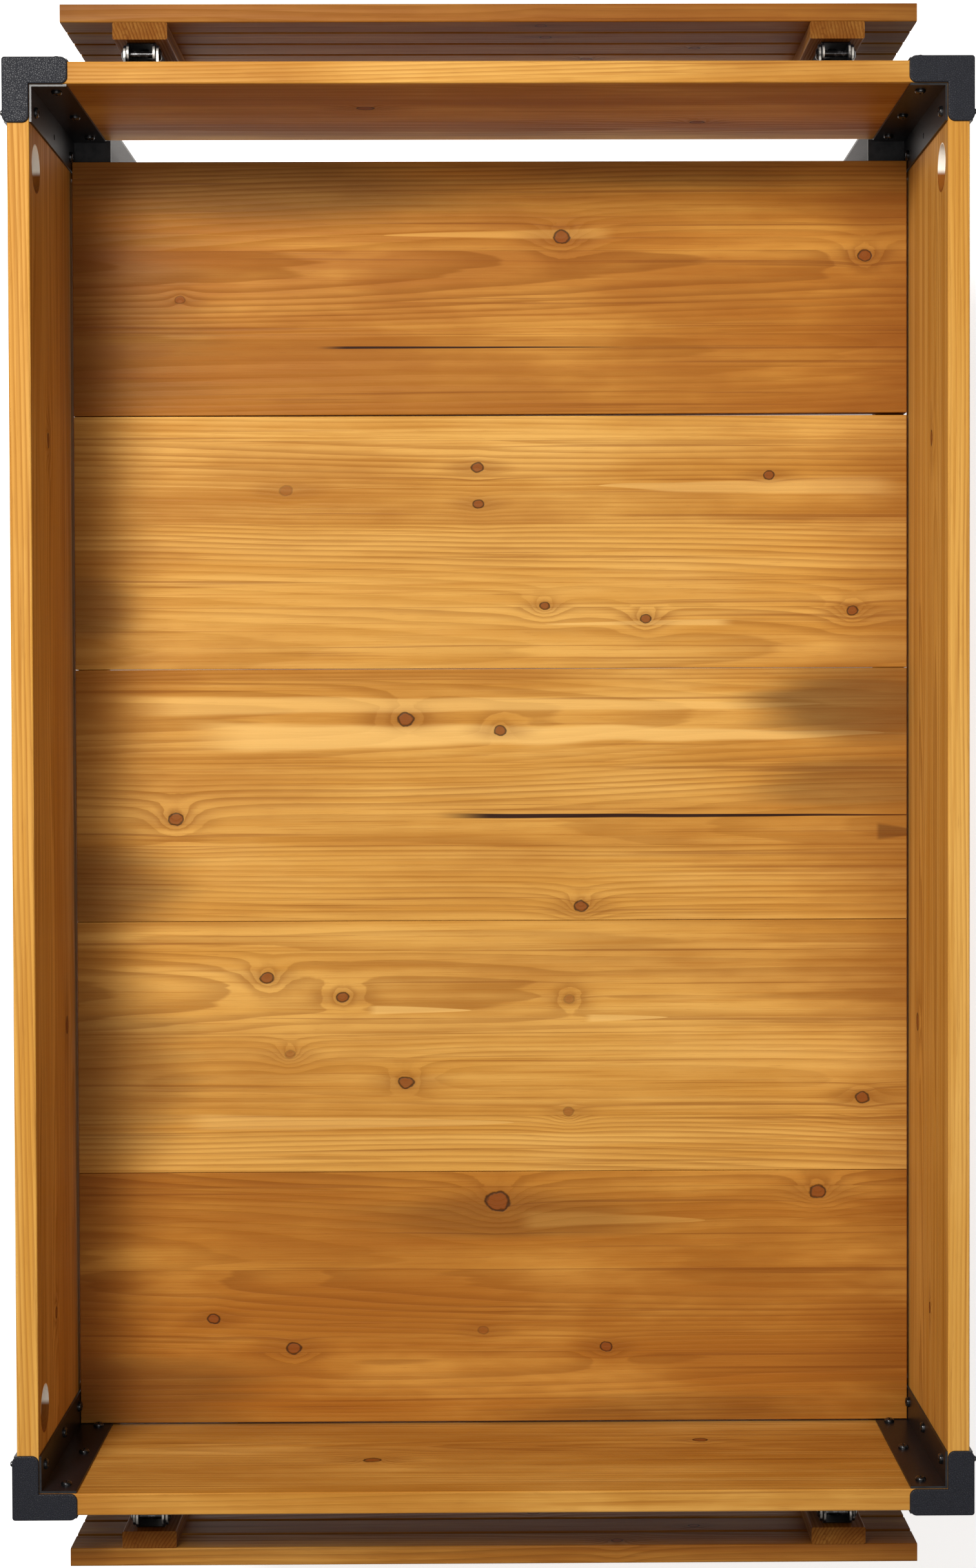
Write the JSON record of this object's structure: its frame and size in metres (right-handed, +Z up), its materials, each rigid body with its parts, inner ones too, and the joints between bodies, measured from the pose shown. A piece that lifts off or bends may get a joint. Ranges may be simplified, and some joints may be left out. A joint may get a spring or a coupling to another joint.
{
  "type": "open hive box on legs",
  "caption": "Open timber hive box on steel angle legs, with a slatted floor gap and a folding slatted shelf on prop brackets at each end.",
  "frame": {"origin": "on the ground under the middle of the box, both shelves folded down", "axes": "+Z up, +Y along the box towards the end with the floor slot, +X to the right seen from the front"},
  "size_m": [0.841, 1.378, 0.802],
  "materials": {
    "box_wood": "satin stained softwood",
    "shelf_wood": "satin stained softwood",
    "black_steel": "satin black",
    "bracket_steel": "satin black, bare cut edges",
    "prop_steel": "zinc plated",
    "dark_fastener": "gloss black",
    "black_plastic": "fine leather texture"
  },
  "bodies": {
    "box": {"back_end_board": "box_wood", "back_left_corner_cap": "black_plastic", "back_left_inner_angle": "black_steel", "back_left_leg": "black_steel", "back_left_wall_channel": "bracket_steel", "back_right_corner_cap": "black_plastic", "back_right_inner_angle": "black_steel", "back_right_leg": "black_steel", "back_right_wall_channel": "bracket_steel", "bracket_rivets": "dark_fastener", "corner_bolts": "dark_fastener", "corner_nuts": "dark_fastener", "floor_board_1": "box_wood", "floor_board_2": "box_wood", "floor_board_3": "box_wood", "floor_board_4": "box_wood", "floor_board_5": "box_wood", "floor_screws": "dark_fastener", "front_end_board": "box_wood", "front_left_corner_cap": "black_plastic", "front_left_inner_angle": "black_steel", "front_left_leg": "black_steel", "front_left_wall_channel": "bracket_steel", "front_right_corner_cap": "black_plastic", "front_right_inner_angle": "black_steel", "front_right_leg": "black_steel", "front_right_wall_channel": "bracket_steel", "left_floor_batten": "box_wood", "left_side_board": "box_wood", "leg_feet": "black_plastic", "right_floor_batten": "box_wood", "right_side_board": "box_wood", "wall_channel_screws": "dark_fastener"},
    "front_shelf": {"front_left_arm": "bracket_steel", "front_left_shelf_batten": "shelf_wood", "front_right_arm": "bracket_steel", "front_right_shelf_batten": "shelf_wood", "front_shelf_screws": "dark_fastener", "front_slat_1": "shelf_wood", "front_slat_2": "shelf_wood", "front_slat_3": "shelf_wood", "front_slat_4": "shelf_wood", "front_slat_5": "shelf_wood", "front_slat_6": "shelf_wood"},
    "front_left_prop": {"front_left_prop": "prop_steel"},
    "front_right_prop": {"front_right_prop": "prop_steel"},
    "back_shelf": {"back_left_arm": "bracket_steel", "back_left_shelf_batten": "shelf_wood", "back_right_arm": "bracket_steel", "back_right_shelf_batten": "shelf_wood", "back_shelf_screws": "dark_fastener", "back_slat_1": "shelf_wood", "back_slat_2": "shelf_wood", "back_slat_3": "shelf_wood", "back_slat_4": "shelf_wood", "back_slat_5": "shelf_wood", "back_slat_6": "shelf_wood"},
    "back_left_prop": {"back_left_prop": "prop_steel"},
    "back_right_prop": {"back_right_prop": "prop_steel"}
  },
  "joints": [
    {"name": "front_shelf_hinge", "type": "hinge", "parent": "box", "child": "front_shelf", "pos_m": [0, -0.648, 0.722], "axis": [-1, 0, 0], "range_deg": [0, 90]},
    {"name": "front_left_prop_hinge", "type": "hinge", "parent": "box", "child": "front_left_prop", "pos_m": [-0.306, -0.6305, 0.65629], "axis": [-1, 0, 0], "range_deg": [0, 122.01]},
    {"name": "front_right_prop_hinge", "type": "hinge", "parent": "box", "child": "front_right_prop", "pos_m": [0.306, -0.6305, 0.65629], "axis": [-1, 0, 0], "range_deg": [0, 122.01]},
    {"name": "back_shelf_hinge", "type": "hinge", "parent": "box", "child": "back_shelf", "pos_m": [0, 0.648, 0.722], "axis": [1, 0, 0], "range_deg": [0, 90]},
    {"name": "back_left_prop_hinge", "type": "hinge", "parent": "box", "child": "back_left_prop", "pos_m": [-0.306, 0.6305, 0.65629], "axis": [1, 0, 0], "range_deg": [0, 122.01]},
    {"name": "back_right_prop_hinge", "type": "hinge", "parent": "box", "child": "back_right_prop", "pos_m": [0.306, 0.6305, 0.65629], "axis": [1, 0, 0], "range_deg": [0, 122.01]}
  ],
  "couplings": [
    {"joint": "front_left_prop_hinge", "follows": "front_shelf_hinge", "ratio": 1.3555},
    {"joint": "front_right_prop_hinge", "follows": "front_shelf_hinge", "ratio": 1.3555},
    {"joint": "back_left_prop_hinge", "follows": "back_shelf_hinge", "ratio": 1.3555},
    {"joint": "back_right_prop_hinge", "follows": "back_shelf_hinge", "ratio": 1.3555}
  ]
}
